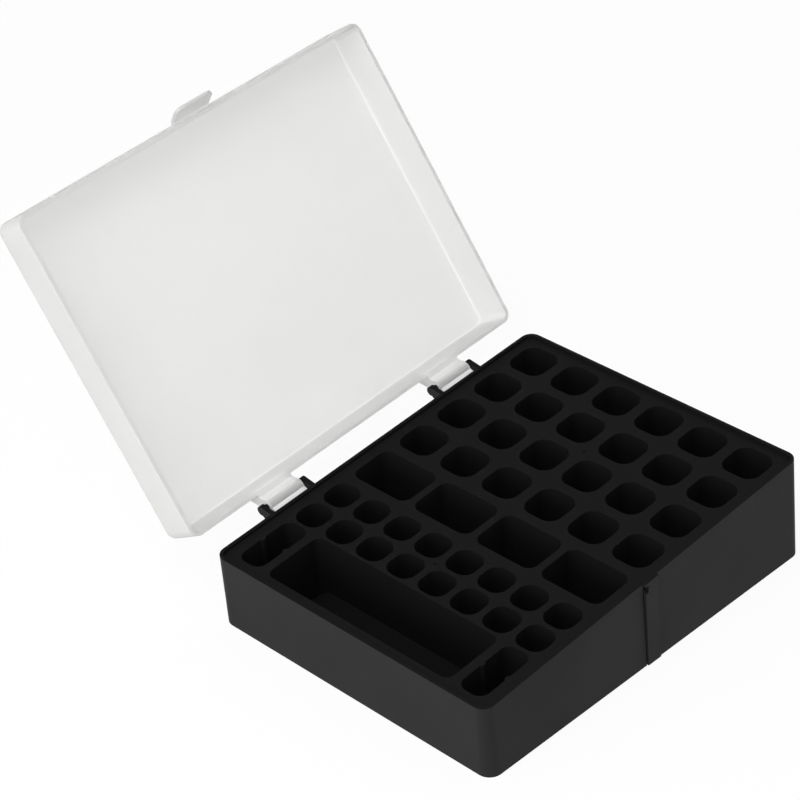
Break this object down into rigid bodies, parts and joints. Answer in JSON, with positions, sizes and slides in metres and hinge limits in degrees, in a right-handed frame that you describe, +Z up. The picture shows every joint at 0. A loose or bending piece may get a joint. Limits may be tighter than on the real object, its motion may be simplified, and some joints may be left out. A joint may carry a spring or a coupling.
{
  "type": "battery storage case",
  "caption": "Wedge-shaped tray of upright battery pockets, slots and a long tray, with a frosted hinged lid that snaps shut over the front rib.",
  "frame": {"origin": "on the table plane that the skirt's rim stands on, straight below the middle of the deck", "axes": "+Z up; +Y from the latch side to the hinge side; +X along the case, from the long tray to the AA pockets, where the deck is higher"},
  "size_m": [0.1885, 0.2328, 0.1615],
  "materials": {
    "tray_plastic": "black moulded plastic with a fine satin surface",
    "lid_plastic": "frosted translucent white moulded plastic"
  },
  "bodies": {
    "tray": {"base_tray": "tray_plastic"},
    "lid": {"lid": "lid_plastic"}
  },
  "joints": [
    {"name": "lid_hinge", "type": "hinge", "parent": "tray", "child": "lid", "pos_m": [0.00001, 0.0726, 0.03739], "axis": [0.9968, 0, 0.0802], "range_deg": [0, 123]}
  ]
}
